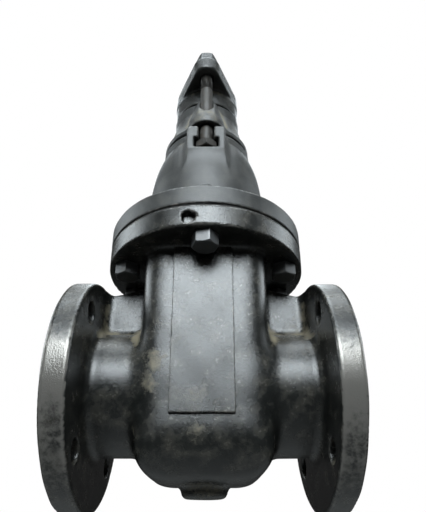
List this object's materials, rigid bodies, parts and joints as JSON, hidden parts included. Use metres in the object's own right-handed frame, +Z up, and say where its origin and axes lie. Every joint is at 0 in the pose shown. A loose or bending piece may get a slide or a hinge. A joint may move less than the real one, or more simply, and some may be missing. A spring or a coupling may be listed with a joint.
{
  "type": "sluice valve",
  "caption": "Cast-iron sluice valve with flanged pipe ends, a wedge gate closed on its seats, a domed bonnet, and a stuffing box with a lozenge gland round the spindle.",
  "frame": {"origin": "centre of the left pipe flange's face, on the pipe axis", "axes": "+X along the pipe into the valve, +Z up along the spindle, +Y to the back"},
  "size_m": [0.21, 0.184, 0.487],
  "materials": {
    "casting": "worn black bitumen paint over cast iron",
    "bronze": "dull turned bronze",
    "fastener": "painted steel with rust at the edges",
    "spindle": "dull steel with rust",
    "sheet": "matt black sheet",
    "packing": "greased braided packing"
  },
  "bodies": {
    "root": {"body": "casting", "left_seat_ring": "bronze", "right_seat_ring": "bronze", "gate": "casting", "gate_left_ring": "bronze", "gate_right_ring": "bronze", "gate_nut": "bronze", "spindle": "spindle", "joint_sheet": "sheet", "bonnet": "casting", "joint_bolt_1": "fastener", "joint_bolt_2": "fastener", "joint_bolt_3": "fastener", "joint_bolt_4": "fastener", "joint_bolt_5": "fastener", "joint_bolt_6": "fastener", "joint_nut_1": "fastener", "joint_nut_2": "fastener", "joint_nut_3": "fastener", "joint_nut_4": "fastener", "joint_nut_5": "fastener", "joint_nut_6": "fastener", "stuffing_box": "casting", "packing": "packing", "gland": "casting", "front_gland_bolt": "fastener", "back_gland_bolt": "fastener", "front_gland_nut": "fastener", "back_gland_nut": "fastener"}
  },
  "joints": []
}
